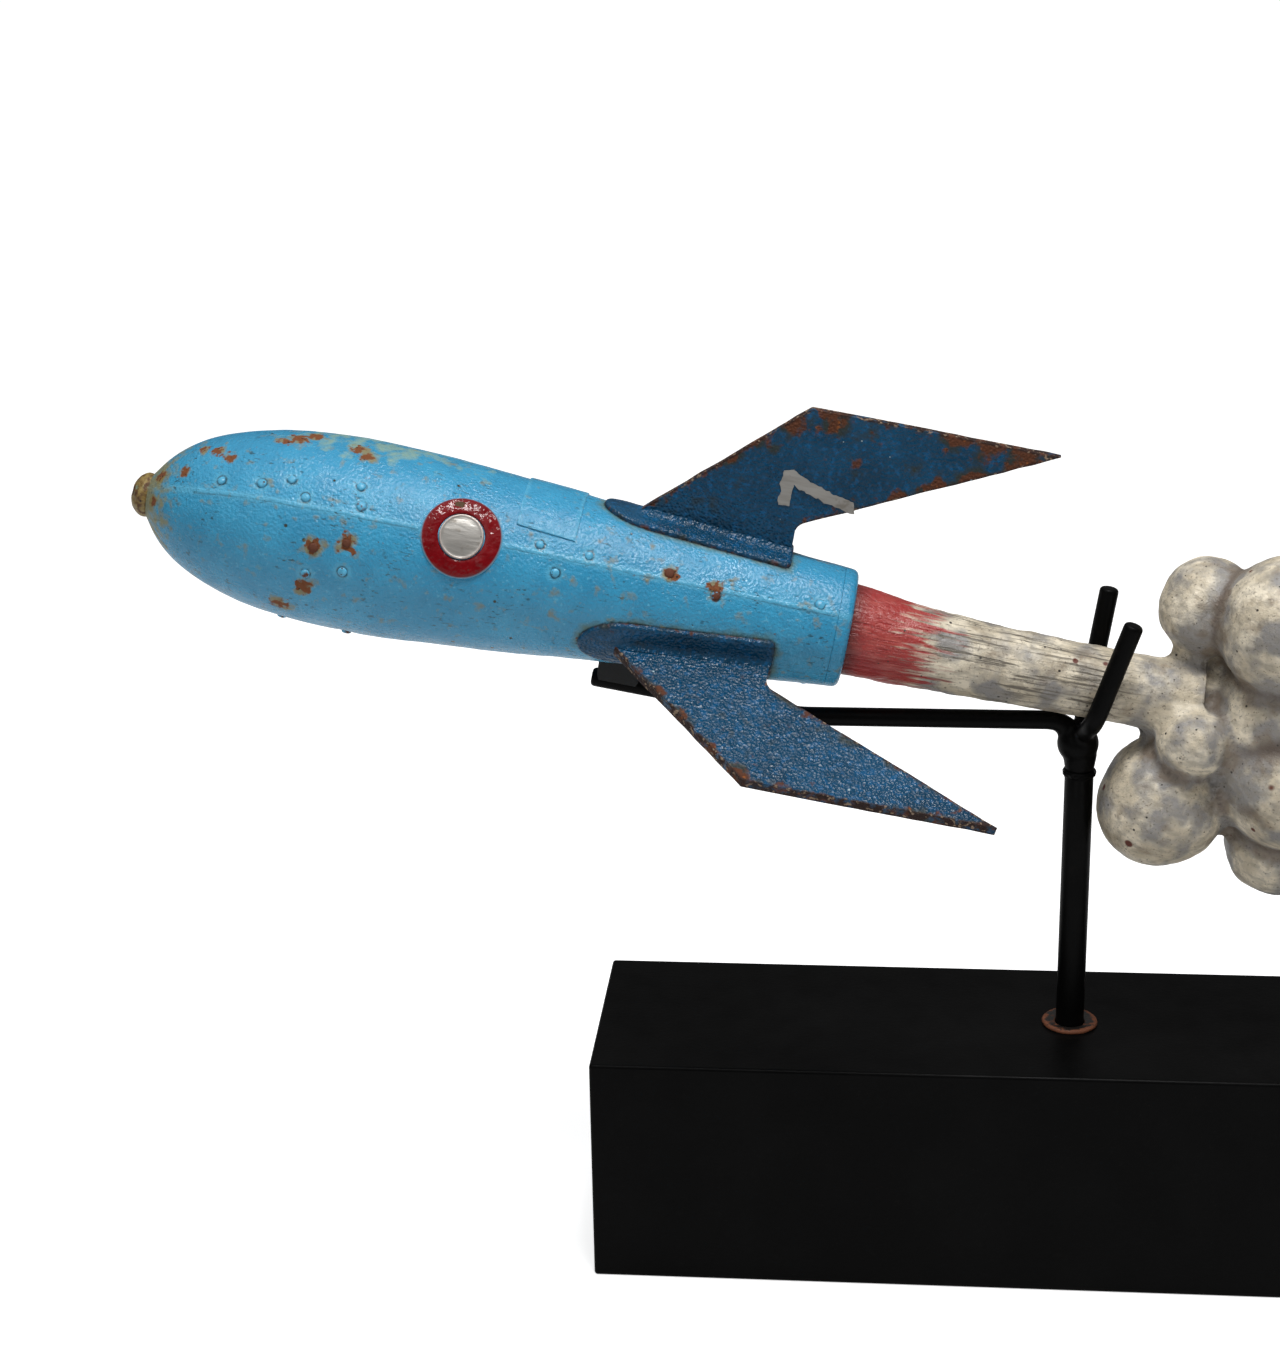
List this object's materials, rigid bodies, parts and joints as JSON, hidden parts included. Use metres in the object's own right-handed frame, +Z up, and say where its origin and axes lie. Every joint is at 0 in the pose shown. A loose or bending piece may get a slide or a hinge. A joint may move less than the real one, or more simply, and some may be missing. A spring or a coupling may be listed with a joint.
{
  "type": "display space rocket on a stand",
  "caption": "Sheet-metal clad toy-style space rocket with swept fins and portholes on a carved smoke trail, lifted off a forked rod stand on a block base.",
  "frame": {"origin": "centre of the base's underside, on the axis of the stand's post", "axes": "+Z up along the post; +X along the base, from under the rocket's nose towards its smoke; -Y the side with the painted fin numeral"},
  "size_m": [0.5965, 0.1572, 0.374],
  "materials": {
    "hull_paint": "sky-blue enamel on sheet steel, aged, rust-pitted",
    "fin_paint": "deep blue hammered enamel on steel plate, edges rusted",
    "ring_paint": "glossy dark red enamel, chipped",
    "disc_paint": "dull silver paint, brushed on",
    "cap_metal": "worn olive-brown paint over rusting metal",
    "nail_iron": "painted nail heads, ringed with rust",
    "bare_pine": "bare turned softwood, out of sight",
    "plume_paint": "brushed paint, red running out into cream and grey",
    "smoke_paint": "chalky white paint with a dark wash",
    "stand_black": "satin black paint on steel rod",
    "pad_rubber": "matt black rubber",
    "base_lacquer": "satin black lacquer",
    "ferrule_iron": "blackened iron, rusty at the rim"
  },
  "bodies": {
    "base": {"base_block": "base_lacquer", "post_ferrule": "ferrule_iron"},
    "stand": {"post": "stand_black", "arm_rod": "stand_black", "prong_near": "stand_black", "prong_far": "stand_black", "elbow_weld": "stand_black", "belly_pad": "pad_rubber"},
    "rocket": {"nose_cap": "cap_metal", "hull_core": "bare_pine", "hull_panel_top": "hull_paint", "hull_panel_near": "hull_paint", "hull_panel_far": "hull_paint", "seam_near": "hull_paint", "seam_far": "hull_paint", "seam_belly": "hull_paint", "tail_collar": "hull_paint", "seam_nails": "nail_iron", "hatch_plate": "hull_paint", "porthole_ring_near": "ring_paint", "porthole_disc_near": "disc_paint", "porthole_ring_far": "ring_paint", "porthole_disc_far": "disc_paint", "fin_top": "fin_paint", "fin_near": "fin_paint", "fin_far": "fin_paint", "fin_shoe_top": "fin_paint", "fin_shoe_near": "fin_paint", "fin_shoe_far": "fin_paint", "tail_dowel": "bare_pine", "plume_stem": "plume_paint", "cloud_core": "smoke_paint", "smoke_puff_01": "smoke_paint", "smoke_puff_02": "smoke_paint", "smoke_puff_03": "smoke_paint", "smoke_puff_04": "smoke_paint", "smoke_puff_05": "smoke_paint", "smoke_puff_06": "smoke_paint", "smoke_puff_07": "smoke_paint", "smoke_puff_08": "smoke_paint", "smoke_puff_09": "smoke_paint", "smoke_puff_10": "smoke_paint", "smoke_puff_11": "smoke_paint", "smoke_puff_12": "smoke_paint", "smoke_puff_13": "smoke_paint"}
  },
  "joints": [
    {"name": "stand_swivel", "type": "hinge", "parent": "base", "child": "stand", "pos_m": [0, 0, 0.102], "axis": [0, 0, 1], "range_deg": [-40, 40]},
    {"name": "rocket_lift", "type": "slide", "parent": "stand", "child": "rocket", "axis": [0.1857, 0, 0.9826], "range_m": [0, 0.15]}
  ]
}
